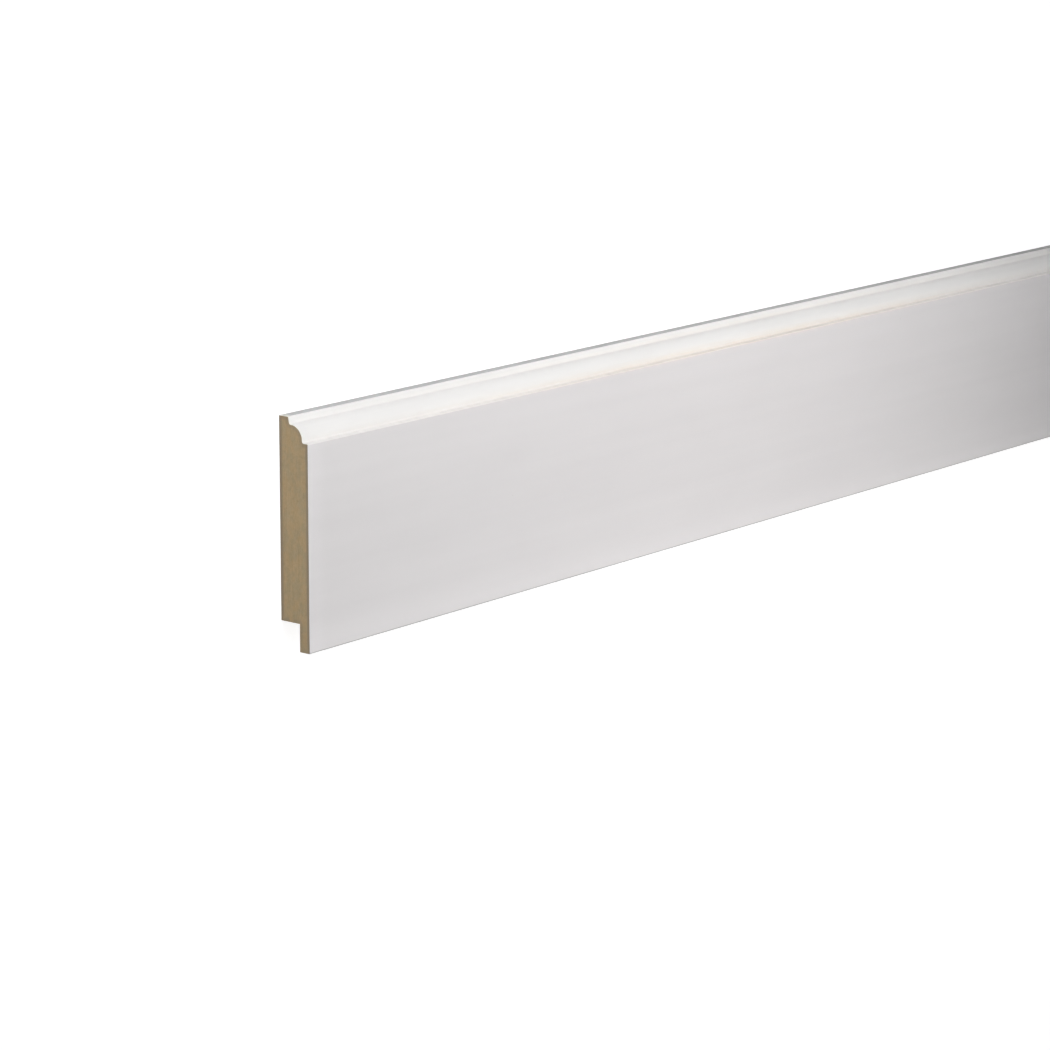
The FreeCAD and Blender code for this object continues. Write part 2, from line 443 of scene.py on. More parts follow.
@dataclass
class SkirtingBoard:
    """One length of the board: its section run along X and closed by its two sawn ends.

    On the bake map the unrolled sides lie above the two ends, in shares of the map's size.
    """

    section: MouldedSection
    half_length: float
    near_seed: int = 7
    far_seed: int = 27
    feed_level: float = 0.6
    feed_swing: float = 0.4
    feed_peak: float = -0.82
    feed_length: float = 0.76
    near_cut: tuple[float, ...] = tuple(
        mark * MM for mark in (0.6, 0.9, 1.4, 2.1, 3.2, 5.0, 8.0, 13.0, 21.0, 34.0, 50.0)
    )
    bay: float = 50.0 * MM
    sharp_angle: float = 70.0
    border_reach: float = 3.0 * MM
    map_margin: float = 0.01
    map_rim: float = 0.004
    map_end_share: float = 0.09
    map_ends_height: float = 0.42
    map_sides_low: float = 0.45
    map_least_step: float = 0.15 * MM

    def build(self, finishes: dict[Zone, bpy.types.Material]) -> bpy.types.Object:
        """Makes the board's one closed mesh and dresses it.

        Args:
            finishes: The material of each zone.

        Returns:
            The board, at the frame's origin with its place in its mesh.
        """
        outline = self.section.outline()
        near = SawnEnd(outline, Side.NEAR, self.half_length, self.near_seed)
        far = SawnEnd(outline, Side.FAR, self.half_length, self.far_seed)
        rings = [near.film_ring(), *reversed(near.rings())]
        rings += [self._full_ring(outline, x) for x in self._stations()]
        rings += [*far.rings(), far.film_ring()]
        around = len(outline.points)
        points = [tuple(point) for ring in rings for point in ring]
        faces: list[tuple[int, ...]] = []
        zones: list[Zone] = []
        cut_rings = (0, len(rings) - 2)
        for number in range(len(rings) - 1):
            for place in range(around):
                after = (place + 1) % around
                here, there = number * around, (number + 1) * around
                faces.append((here + place, here + after, there + after, there + place))
                zone = outline.zones[place]
                bare_rim = number in cut_rings and zone is Zone.BARE_BACK
                zones.append(Zone.SAWN_END if bare_rim else zone)
        for end, ring_at in ((near, 0), (far, len(rings) - 1)):
            inner, triangles = end.core(rings[ring_at])
            first_inner = len(points)
            points += inner
            for triangle in triangles:
                corners = [
                    ring_at * around + corner if corner < around else first_inner + corner - around
                    for corner in triangle
                ]
                faces.append(tuple(corners if end.side is Side.FAR else reversed(corners)))
                zones.append(Zone.SAWN_END)

        mesh = bpy.data.meshes.new("primed_board")
        mesh.from_pydata(points, [], faces)
        for zone in Zone:
            mesh.materials.append(finishes[zone])
        mesh.polygons.foreach_set("material_index", [zone.value for zone in zones])
        self._write_attributes(mesh, outline, rings)
        self._write_bake_map(mesh, outline, rings)
        mesh.shade_smooth()
        mesh.set_sharp_from_angle(angle=math.radians(self.sharp_angle))
        mesh.validate()
        return put_in_scene("primed_board", mesh)

    def _stations(self) -> list[float]:
        """Chooses where the full sections stand, close together near the cuts.

        Returns:
            Their places along X.
        """
        reach = self.near_cut[-1]
        span = 2 * (self.half_length - reach)
        bays = max(1, round(span / self.bay))
        middle = [-self.half_length + reach + span * number / bays for number in range(1, bays)]
        start = [-self.half_length + mark for mark in self.near_cut]
        return start + middle + [-x for x in reversed(start)]

    def _feed(self, x: float) -> float:
        """How much the thin spots show at a place along X, as the feed of the primer drifts."""
        turn = 2 * math.pi * (x - self.feed_peak) / self.feed_length
        return self.feed_level + self.feed_swing * math.cos(turn)

    def _full_ring(self, outline: Outline, x: float) -> np.ndarray:
        """The outline at a place along X."""
        return np.column_stack([np.full(len(outline.points), x), outline.points])

    def _write_attributes(self, mesh: bpy.types.Mesh, outline: Outline, rings: list[np.ndarray]) -> None:
        """Writes what the finishes read from each point of the board.

        Args:
            mesh: The board's mesh, whose first points are the rings' in order.
            outline: The section.
            rings: The rings of points along X.
        """
        total = len(mesh.vertices)
        inside = total - len(rings) * len(outline.points)
        place = np.array([vertex.co for vertex in mesh.vertices])
        fed = np.repeat([self._feed(ring[0, 0]) for ring in rings], len(outline.points))
        border = np.zeros(total)
        loop = rings[0][:, 1:]
        for index in range(total - inside, total):
            gap = np.linalg.norm(loop - place[index, 1:], axis=1).min()
            border[index] = min(1.0, gap / self.border_reach)
        layers = {
            "thin": np.concatenate([np.tile(outline.thin, len(rings)) * fed, np.zeros(inside)]),
            "spray": np.concatenate([np.tile(outline.spray, len(rings)), np.zeros(inside)]),
            "painted_shade": np.concatenate([np.tile(outline.painted_shade, len(rings)), np.zeros(inside)]),
            "to_cut": (self.half_length - np.abs(place[:, 0])) / MM,
            "border": border,
        }
        for name, values in layers.items():
            layer = mesh.attributes.new(name, "FLOAT", "POINT")
            layer.data.foreach_set("value", values.astype(np.float32))

    def _write_bake_map(self, mesh: bpy.types.Mesh, outline: Outline, rings: list[np.ndarray]) -> None:
        """Lays the surface out flat: the section unrolled along X above, the two ends below.

        Args:
            mesh: The board's mesh, whose first faces lie between its rings.
            outline: The section.
            rings: The rings of points along X.
        """
        around = len(outline.points)
        steps = np.linalg.norm(np.roll(outline.points, -1, axis=0) - outline.points, axis=1)
        grown = np.sqrt(np.maximum(steps, self.map_least_step))
        across = np.concatenate([[0.0], np.cumsum(grown)]) / grown.sum()
        places = [ring[0, 0] for ring in rings]
        end, reach = self.half_length, self.near_cut[-1]
        along = np.interp(places, [-end, reach - end, end - reach, end],
                          [0.0, self.map_end_share, 1 - self.map_end_share, 1.0])
        margin, rim = self.map_margin, self.map_rim
        along[0] -= rim
        along[-1] += rim
        layer = mesh.uv_layers.new(name=BAKE_MAP)
        sides = (len(rings) - 1) * around
        for polygon in mesh.polygons:
            index = polygon.index
            for loop_index in polygon.loop_indices:
                vertex = mesh.loops[loop_index].vertex_index
                if index < sides:
                    ring, place = divmod(vertex, around)
                    wraps = index % around == around - 1 and place == 0
                    turn = 1.0 if wraps else across[place]
                    share = (along[ring] + rim) / (1 + 2 * rim)
                    spot = (margin + (1 - 2 * margin) * share,
                            self.map_sides_low + (1 - margin - self.map_sides_low) * turn)
                else:
                    x, y, z = mesh.vertices[vertex].co
                    left = margin if x < 0 else 0.5 + margin
                    spot = (left + (0.5 - 2 * margin) * (y / self.section.width + 0.5),
                            margin + self.map_ends_height * z / self.section.thickness)
                layer.data[loop_index].uv = spot


class Graph:
    """Lays nodes in one shader tree and links them."""

    def __init__(self, tree: bpy.types.NodeTree) -> None:
        """Takes the tree to draw in."""
        self.tree = tree

    def add(self, kind: str, sockets: dict[str | int, Value] | None = None,
            **options: object) -> bpy.types.Node:
        """Adds a node.

        Args:
            kind: The node's Blender type, without ShaderNode before it.
            sockets: What goes into its inputs: a constant, or the output of another node.
            **options: The node's own settings.

        Returns:
            The node.
        """
        made = self.tree.nodes.new(f"ShaderNode{kind}")
        for name, option in options.items():
            setattr(made, name, option)
        for key, value in (sockets or {}).items():
            if isinstance(value, bpy.types.NodeSocket):
                self.tree.links.new(value, made.inputs[key])
            else:
                made.inputs[key].default_value = value
        return made

    def maths(self, operation: str, first: Value, second: Value = 0.0,
              clamp: bool = False) -> bpy.types.NodeSocket:
        """Works out a value from one or two others."""
        made = self.add("Math", {0: first, 1: second}, operation=operation, use_clamp=clamp)
        return made.outputs[0]

    def plus(self, first: Value, second: Value) -> bpy.types.NodeSocket:
        """Adds two values."""
        return self.maths("ADD", first, second)

    def times(self, first: Value, second: Value) -> bpy.types.NodeSocket:
        """Multiplies two values."""
        return self.maths("MULTIPLY", first, second)

    def ramp(self, value: Value, low: float, high: float, to_low: float = 0.0,
             to_high: float = 1.0) -> bpy.types.NodeSocket:
        """Moves a value's range from low..high to to_low..to_high, smoothly and held at its ends."""
        made = self.add(
            "MapRange",
            {"Value": value, "From Min": low, "From Max": high, "To Min": to_low, "To Max": to_high},
            interpolation_type="SMOOTHSTEP",
        )
        return made.outputs["Result"]

    def opaque(self, colour: Value) -> Value:
        """Gives a colour full opacity, and leaves a socket as it is."""
        return colour if isinstance(colour, bpy.types.NodeSocket) else (*colour, 1.0)

    def blend(self, share: Value, first: Value, second: Value) -> bpy.types.NodeSocket:
        """Blends two colours."""
        made = self.add("Mix", {0: share, 6: self.opaque(first), 7: self.opaque(second)}, data_type="RGBA",
                        clamp_factor=True)
        return made.outputs[2]

    def toned(self, colour: Colour, tone: Value) -> bpy.types.NodeSocket:
        """Makes a colour lighter or darker by a factor."""
        return self.add("VectorMath", {0: colour, "Scale": tone}, operation="SCALE").outputs["Vector"]

    def cloud(self, place: Value, grain: Grain, detail: float = 2.0,
              roughness: float = 0.5) -> bpy.types.NodeSocket:
        """Draws soft noise from 0 to 1.

        Args:
            place: Where it is, in metres.
            grain: How large its grains are along X, Y and Z, in millimetres.
            detail: How many finer layers lie over it.
            roughness: How strong they are.

        Returns:
            The noise.
        """
        per_metre = tuple(1 / (side * MM) for side in grain)
        spread = self.add("VectorMath", {0: place, 1: per_metre}, operation="MULTIPLY").outputs["Vector"]
        made = self.add(
            "TexNoise", {"Vector": spread, "Scale": 1.0, "Detail": detail, "Roughness": roughness},
        )
        return made.outputs["Fac"]


class Kind(Enum):
    """What a group's socket carries."""

    NUMBER = "NodeSocketFloat"
    VECTOR = "NodeSocketVector"


@dataclass(frozen=True)
class Port:
    """One named socket of a group."""

    name: str
    kind: Kind


def numbers(*names: str) -> tuple[Port, ...]:
    """Sockets that carry a number each."""
    return tuple(Port(name, Kind.NUMBER) for name in names)


class Effect:
    """A surface effect that several finishes share: a shader node group, built on its first use."""

    name: str = ""
    takes: tuple[Port, ...] = ()
    gives: tuple[Port, ...] = ()

    def __init__(self) -> None:
        """Starts unbuilt."""
        self._tree: bpy.types.NodeTree | None = None

    def place(self, graph: Graph, **values: Value) -> bpy.types.Node:
        """Puts the effect into a material.

        Args:
            graph: The material's nodes.
            **values: What goes into its inputs, by name.

        Returns:
            The group's node.
        """
        if self._tree is None:
            self._tree = self._build()
        return graph.add("Group", dict(values), node_tree=self._tree)

    def _build(self) -> bpy.types.NodeTree:
        """Makes the group with its sockets and draws its nodes.

        Returns:
            The group.
        """
        tree = bpy.data.node_groups.new(self.name, "ShaderNodeTree")
        for ports, way in ((self.takes, "INPUT"), (self.gives, "OUTPUT")):
            for port in ports:
                tree.interface.new_socket(port.name, in_out=way, socket_type=port.kind.value)
        given = tree.nodes.new("NodeGroupInput").outputs
        result = tree.nodes.new("NodeGroupOutput").inputs
        for name, socket in self.draw(Graph(tree), given).items():
            tree.links.new(socket, result[name])
        return tree

    def draw(self, graph: Graph, given: bpy.types.NodeOutputs) -> dict[str, bpy.types.NodeSocket]:
        """Draws the effect's nodes.

        Args:
            graph: The group's nodes.
            given: The group's inputs.

        Returns:
            The socket for each output, by name.
        """
        raise NotImplementedError


class FibreGrain(Effect):
    """Wood fibre pressed into board: felted tufts that lie flat in the panel, with a few dark flecks."""

    name = "Fibre grain"
    takes = (Port("Place", Kind.VECTOR),)
    gives = numbers("Tone", "Fleck", "Height")
    tuft: Grain = (2.4, 2.4, 0.9)
    strand: Grain = (0.7, 0.7, 0.2)
    band: Grain = (45.0, 30.0, 1.1)
    speck: Grain = (0.9, 0.9, 0.28)
    band_share: float = 0.2
    tone_range: Point = (0.34, 0.66)
    fleck_range: Point = (0.7, 0.8)

    def draw(self, graph: Graph, given: bpy.types.NodeOutputs) -> dict[str, bpy.types.NodeSocket]:
        """Draws tufts, single strands and flecks.

        Args:
            graph: The group's nodes.
            given: The group's inputs.

        Returns:
            The socket for each output, by name.
        """
        place = given["Place"]
        tufts = graph.cloud(place, self.tuft, 3.0, 0.6)
        strands = graph.cloud(place, self.strand, 3.0, 0.65)
        bands = graph.cloud(place, self.band)
        tuft_share = (1.0 - self.band_share) / 2
        both = graph.plus(graph.times(tufts, tuft_share), graph.times(strands, tuft_share))
        tone = graph.plus(both, graph.times(bands, self.band_share))
        specks = graph.cloud(place, self.speck, 1.0)
        return {
            "Tone": graph.ramp(tone, *self.tone_range),
            "Fleck": graph.ramp(specks, *self.fleck_range),
            "Height": graph.times(graph.plus(tufts, strands), 0.5),
        }


class PrimerFilm(Effect):
    """A factory coat of primer: faint lines along the board, a fine roller stipple, warm thin spots and,
    on the face, a tone that turns lighter towards its two long edges.

    Sheen and relief each hold the share of the stipple and that of the lines.
    """

    name = "Primer film"
    takes = (Port("Place", Kind.VECTOR), *numbers("Thin", "To cut", "Cut reach", "Lines", "Edge lightening"))
    gives = numbers("Tone", "Thin", "Cut", "Roughness", "Height")
    line: Grain = (160.0, 0.8, 0.8)
    broad_line: Grain = (420.0, 9.0, 9.0)
    stipple: Grain = (1.6, 1.1, 1.1)
    drift: Grain = (70.0, 26.0, 26.0)
    patch: Grain = (38.0, 0.9, 0.9)
    fray: Grain = (0.9, 0.9, 0.9)
    drift_share: float = 0.05
    plain_y: float = -18.0 * MM
    edge_lightening_reach: float = 60.0 * MM
    foot_band: Point = (-56.0 * MM, -40.0 * MM)
    foot_gain: float = 0.65
    patch_range: Point = (0.3, 0.66)
    least_patch: float = 0.45
    fray_share: float = 0.5
    cut_range: Point = (0.35, 1.2)
    sheen: Point = (0.06, 0.08)
    relief: Point = (0.012, 0.008)

    def draw(self, graph: Graph, given: bpy.types.NodeOutputs) -> dict[str, bpy.types.NodeSocket]:
        """Draws lines, stipple, clouds and the masks of thin spots and of the painted light near the cuts.

        Args:
            graph: The group's nodes.
            given: The group's inputs.

        Returns:
            The socket for each output, by name.
        """
        place = given["Place"]
        lines = graph.cloud(place, self.line, 3.0, 0.6)
        broad = graph.cloud(place, self.broad_line)
        stipple = graph.cloud(place, self.stipple)
        clouds = graph.cloud(place, self.drift)
        streaks = graph.times(graph.maths("SUBTRACT", lines, 0.5), given["Lines"])
        across = graph.add("SeparateXYZ", {"Vector": place}).outputs["Y"]
        off_plain = graph.maths("DIVIDE", graph.maths("SUBTRACT", across, self.plain_y), self.edge_lightening_reach)
        at_foot = graph.ramp(across, *self.foot_band, self.foot_gain, 0.0)
        # The face turns lighter towards its two long edges, most of all in a band along the foot.
        lightened_edges = graph.times(given["Edge lightening"], graph.plus(graph.times(off_plain, off_plain), at_foot))
        uneven = graph.plus(graph.maths("SUBTRACT", broad, 0.5), graph.maths("SUBTRACT", clouds, 0.5))
        slow = graph.times(uneven, self.drift_share)
        patchy = graph.cloud(place, self.patch, 3.0, 0.6)
        patches = graph.ramp(patchy, *self.patch_range, self.least_patch, 1.0)
        frayed = graph.times(graph.cloud(place, self.fray), self.fray_share)
        reached = graph.maths("DIVIDE", given["To cut"], given["Cut reach"])
        sheen, relief = (
            graph.plus(graph.times(stipple, by_stipple), graph.times(lines, by_lines))
            for by_stipple, by_lines in (self.sheen, self.relief)
        )
        return {
            "Tone": graph.plus(graph.plus(streaks, slow), graph.plus(lightened_edges, 1.0)),
            "Thin": graph.maths("MULTIPLY", given["Thin"], patches, clamp=True),
            # The Cut mask places the painted light near the sawn ends.
            "Cut": graph.ramp(graph.plus(reached, frayed), *self.cut_range, 1.0, 0.0),
            "Roughness": sheen,
            "Height": relief,
        }


class DustNibs(Effect):
    """Specks of dust caught in a coat or lying on bare board, a few in every palm's width."""

    name = "Dust nibs"
    takes = (Port("Place", Kind.VECTOR), *numbers("Spacing"))
    gives = numbers("Mask", "Height")
    chosen_range: Point = (0.78, 0.8)
    least_size: float = 0.012
    size_spread: float = 0.045
    soft_edge: float = 0.02
    rise: float = 0.02

    def draw(self, graph: Graph, given: bpy.types.NodeOutputs) -> dict[str, bpy.types.NodeSocket]:
        """Draws round nibs in one cell out of five, sized in shares of the spacing.

        Args:
            graph: The group's nodes.
            given: The group's inputs.

        Returns:
            The socket for each output, by name.
        """
        per_metre = graph.maths("DIVIDE", 1.0 / MM, given["Spacing"])
        cells = graph.add("TexVoronoi", {"Vector": given["Place"], "Scale": per_metre, "Randomness": 1.0})
        chosen = graph.add("SeparateColor", {"Color": cells.outputs["Color"]})
        few = graph.ramp(chosen.outputs[0], *self.chosen_range)
        size = graph.plus(graph.times(chosen.outputs[1], self.size_spread), self.least_size)
        near = graph.maths("SUBTRACT", size, cells.outputs["Distance"])
        mask = graph.times(graph.ramp(near, 0.0, self.soft_edge), few)
        return {"Mask": mask, "Height": graph.times(mask, self.rise)}


@dataclass
class Effects:
    """The effects that the finishes share."""

    fibre: FibreGrain = field(default_factory=FibreGrain)
    film: PrimerFilm = field(default_factory=PrimerFilm)
    nibs: DustNibs = field(default_factory=DustNibs)


@dataclass(frozen=True)
class Surface:
    """What a finish starts from: a new material, its nodes and where each spot of the board is."""

    material: bpy.types.Material
    graph: Graph
    shader: bpy.types.Node
    place: bpy.types.NodeSocket

    @classmethod
    def of(cls, name: str) -> "Surface":
        """Makes an empty surface with its shader.

        Args:
            name: The material's name.

        Returns:
            The surface, ready for its finish.
        """
        material = bpy.data.materials.new(name)
        material.use_nodes = True
        graph = Graph(material.node_tree)
        shader = material.node_tree.nodes["Principled BSDF"]
        place = graph.add("TexCoord").outputs["Object"]
        return cls(material, graph, shader, place)

    def read(self, name: str) -> bpy.types.NodeSocket:
        """A value that the board's mesh carries."""
        return self.graph.add("Attribute", attribute_name=name).outputs["Fac"]

    def shaded(self, colour: Value, roughness: Value, specular: float, heights: list[Value],
               relief: float = 1.0) -> bpy.types.Material:
        """Connects a finish to the shader.

        Args:
            colour: The base colour.
            roughness: The roughness.
            specular: The specular level.
            heights: Heights in millimetres, which add up to the surface's relief.
            relief: How much of it shows.

        Returns:
            The material.
        """
        total = heights[0]
        for height in heights[1:]:
            total = self.graph.plus(total, height)
        bump = self.graph.add("Bump", {"Height": total, "Strength": relief, "Distance": MM})
        drawn = {"Base Color": colour, "Roughness": roughness, "Normal": bump.outputs["Normal"]}
        for name, socket in drawn.items():
            self.graph.tree.links.new(socket, self.shader.inputs[name])
        self.shader.inputs["Specular IOR Level"].default_value = specular
        return self.material


@dataclass(frozen=True)
class PrimedFinish:
    """White primer on a moulded or sanded surface.

    Colours are linear. The reach of the painted light at the cuts and the nibs' spacing are in millimetres.
    """

    name: str
    primer: Colour
    thin_primer: Colour
    # The colour of the painted light near the sawn ends, with a bright cream rim round each cut.
    painted_light_near_cut: Colour
    cut_reach: float
    lines: float
    roughness: float
    specular: float
    edge_lightening: float = 0.0
    nib_spacing: float = 16.0
    nib_share: float = 0.25
    dust: Colour = (0.5, 0.47, 0.42)
    # The grey that the painted shade blends in, and the least share of it that the fibre's tone leaves.
    shade_grey: Colour = (0.34, 0.335, 0.33)
    least_shade: float = 0.75
    fibre_share: float = 0.25

    def material(self, effects: Effects) -> bpy.types.Material:
        """Builds the finish.

        Args:
            effects: The shared effects.

        Returns:
            The material.
        """
        surface = Surface.of(self.name)
        graph = surface.graph
        film = effects.film.place(graph, **{
            "Place": surface.place, "Thin": surface.read("thin"), "To cut": surface.read("to_cut"),
            "Cut reach": self.cut_reach, "Lines": self.lines, "Edge lightening": self.edge_lightening,
        }).outputs
        nibs = effects.nibs.place(graph, Place=surface.place, Spacing=self.nib_spacing).outputs
        fibre = effects.fibre.place(graph, Place=surface.place).outputs
        felted = graph.plus(1.0 - self.fibre_share, graph.times(fibre["Tone"], self.fibre_share))
        coat = graph.blend(graph.times(film["Thin"], felted), graph.toned(self.primer, film["Tone"]),
                           self.thin_primer)
        # Painted light: the primer turns lighter near the sawn ends, and a bright cream rim runs round each
        # cut.
        cut = graph.blend(film["Cut"], coat, graph.toned(self.painted_light_near_cut, film["Tone"]))
        # Painted shade greys the moulding's hollows and the foot arris, a little unevenly with the fibre.
        shade_share = graph.times(surface.read("painted_shade"), graph.ramp(fibre["Tone"], 0.0, 1.0, self.least_shade, 1.0))
        shaded_coat = graph.blend(shade_share, cut, self.shade_grey)
        dusty = graph.blend(graph.times(nibs["Mask"], self.nib_share), shaded_coat, self.dust)
        roughness = graph.plus(film["Roughness"], self.roughness)
        return surface.shaded(dusty, roughness, self.specular, [film["Height"], nibs["Height"]])


@dataclass(frozen=True)
class SawnFinish:
    """The bare fibre of a sawn end, closer and darker towards the panel's two faces.

    A band's two values are the distances below a face between which it fades in.
    """

    name: str = "sawn_mdf_end"
    light: Colour = (0.60, 0.457, 0.278)
    dark: Colour = (0.44, 0.32, 0.18)
    dense: Colour = (0.40, 0.30, 0.19)
    fleck: Colour = (0.24, 0.16, 0.09)
    rim: Colour = (0.36, 0.295, 0.215)
    warm: Colour = (0.60, 0.44, 0.245)
    cool: Colour = (0.44, 0.385, 0.25)
    stain: Grain = (9.0, 6.0, 4.2)
    stain_range: Point = (0.34, 0.66)
    stain_share: float = 0.4
    dense_band: Point = (2.4 * MM, 0.6 * MM)
    dense_share: float = 0.2
    fleck_share: float = 0.6
    skin_band: Point = (2.2 * MM, 1.1 * MM)
    skin_share: float = 0.85
    seam_range: Point = (0.3, 0.85)
    seam_share: float = 0.5
    roughness: Point = (0.95, 0.82)
    specular: float = 0.2
    fibre_height: float = 0.16
    relief: float = 0.8

    def material(self, effects: Effects, thickness: float) -> bpy.types.Material:
        """Builds the finish.

        Args:
            effects: The shared effects.
            thickness: The panel's thickness.

        Returns:
            The material.
        """
        surface = Surface.of(self.name)
        graph = surface.graph
        fibre = effects.fibre.place(graph, Place=surface.place).outputs
        height = graph.add("SeparateXYZ", {"Vector": surface.place}).outputs["Z"]
        half = thickness / 2
        off_middle = graph.maths("ABSOLUTE", graph.maths("SUBTRACT", height, half))
        dense = graph.ramp(off_middle, *(half - depth for depth in self.dense_band))
        grain = graph.blend(fibre["Tone"], self.dark, self.light)
        stains = graph.ramp(graph.cloud(surface.place, self.stain, 3.0, 0.6), *self.stain_range)
        core = graph.blend(self.stain_share, grain, graph.blend(stains, self.cool, self.warm))
        banded = graph.blend(graph.times(dense, self.dense_share), core, self.dense)
        flecked = graph.blend(graph.times(fibre["Fleck"], self.fleck_share), banded, self.fleck)
        skin = graph.ramp(off_middle, *(half - depth for depth in self.skin_band), 0.0, self.skin_share)
        seam = graph.ramp(surface.read("border"), *self.seam_range, self.seam_share, 0.0)
        coloured = graph.blend(graph.maths("MAXIMUM", skin, seam), flecked, self.rim)
        roughness = graph.ramp(fibre["Tone"], 0.0, 1.0, *self.roughness)
        heights = [graph.times(fibre["Height"], self.fibre_height)]
        return surface.shaded(coloured, roughness, self.specular, heights, self.relief)


@dataclass(frozen=True)
class BareBackFinish:
    """The sanded bare back and the milled rebate, with primer that has strayed over the painted edges."""

    name: str = "sanded_mdf_back"
    light: Colour = (0.50, 0.37, 0.225)
    dark: Colour = (0.40, 0.285, 0.165)
    fleck: Colour = (0.22, 0.14, 0.08)
    primer: Colour = (0.74, 0.735, 0.72)
    dust: Colour = (0.62, 0.5, 0.35)
    nib_spacing: float = 11.0
    nib_share: float = 0.5
    fleck_share: float = 0.5
    score: Grain = (60.0, 0.35, 0.35)
    score_share: float = 2.2
    drop: Grain = (2.2, 0.8, 0.8)
    drop_share: float = 1.1
    settled_range: Point = (0.95, 1.25)
    settled_share: float = 0.9
    roughness: Point = (0.86, 0.6)
    specular: float = 0.25
    fibre_height: float = 0.03
    score_height: float = 0.027
    settled_height: float = 0.02
    relief: float = 0.8

    def material(self, effects: Effects) -> bpy.types.Material:
        """Builds the finish.

        Args:
            effects: The shared effects.

        Returns:
            The material.
        """
        surface = Surface.of(self.name)
        graph = surface.graph
        fibre = effects.fibre.place(graph, Place=surface.place).outputs
        nibs = effects.nibs.place(graph, Place=surface.place, Spacing=self.nib_spacing).outputs
        scores = graph.cloud(surface.place, self.score, 3.0, 0.7)
        scored = graph.times(graph.maths("SUBTRACT", scores, 0.5), self.score_share)
        tone = graph.maths("ADD", fibre["Tone"], scored, clamp=True)
        board = graph.blend(tone, self.dark, self.light)
        flecked = graph.blend(graph.times(fibre["Fleck"], self.fleck_share), board, self.fleck)
        dusty = graph.blend(graph.times(nibs["Mask"], self.nib_share), flecked, self.dust)
        drops = graph.times(graph.cloud(surface.place, self.drop, 4.0, 0.7), self.drop_share)
        settled = graph.ramp(graph.plus(surface.read("spray"), drops), *self.settled_range)
        coloured = graph.blend(graph.times(settled, self.settled_share), dusty, self.primer)
        roughness = graph.ramp(settled, 0.0, 1.0, *self.roughness)
        heights = [
            graph.times(fibre["Height"], self.fibre_height),
            graph.times(scores, self.score_height),
            graph.times(settled, self.settled_height),
        ]
        return surface.shaded(coloured, roughness, self.specular, heights, self.relief)


@dataclass
class Softbox:
    """An oblong studio lamp that points at a place."""

    name: str
    place: Place
    aim: Place
    width: float
    height: float
    watts: float
    spread: float = 180.0

    def hang(self) -> None:
        """Hangs the lamp, out of the camera's sight."""
        lamp = bpy.data.lights.new(self.name, "AREA")
        lamp.shape = "RECTANGLE"
        lamp.size, lamp.size_y = self.width, self.height
        lamp.energy = self.watts
        lamp.spread = math.radians(self.spread)
        hung = put_in_scene(self.name, lamp)
        hung.location = self.place
        hung.rotation_euler = (Vector(self.aim) - Vector(self.place)).to_track_quat("-Z", "Y").to_euler()
        hung.visible_camera = False


@dataclass
class PhotoCamera:
    """The camera, above the cut end and turned so that the moulded edge is up."""

    place: Place = (-2.55209, 0.42335, 1.24701)
    forward: Place = (0.75876, -0.22266, -0.61213)
    up: Place = (0.17139, 0.97489, -0.14218)
    lens: float = 129.95
    sensor: float = 36.0
    nearest: float = 0.05
    farthest: float = 60.0

    def stand(self) -> None:
        """Stands the camera and makes it the scene's."""
        made = bpy.data.cameras.new("photo_camera")
        made.sensor_width = self.sensor
        made.lens = self.lens
        made.clip_start, made.clip_end = self.nearest, self.farthest
        stood = put_in_scene("photo_camera", made)
        back = -Vector(self.forward).normalized()
        right = Vector(self.up).cross(back).normalized()
        up = back.cross(right)
        turn = Matrix((right, up, back)).transposed()
        stood.matrix_world = Matrix.LocRotScale(Vector(self.place), turn.to_quaternion(), None)
        bpy.context.scene.camera = stood


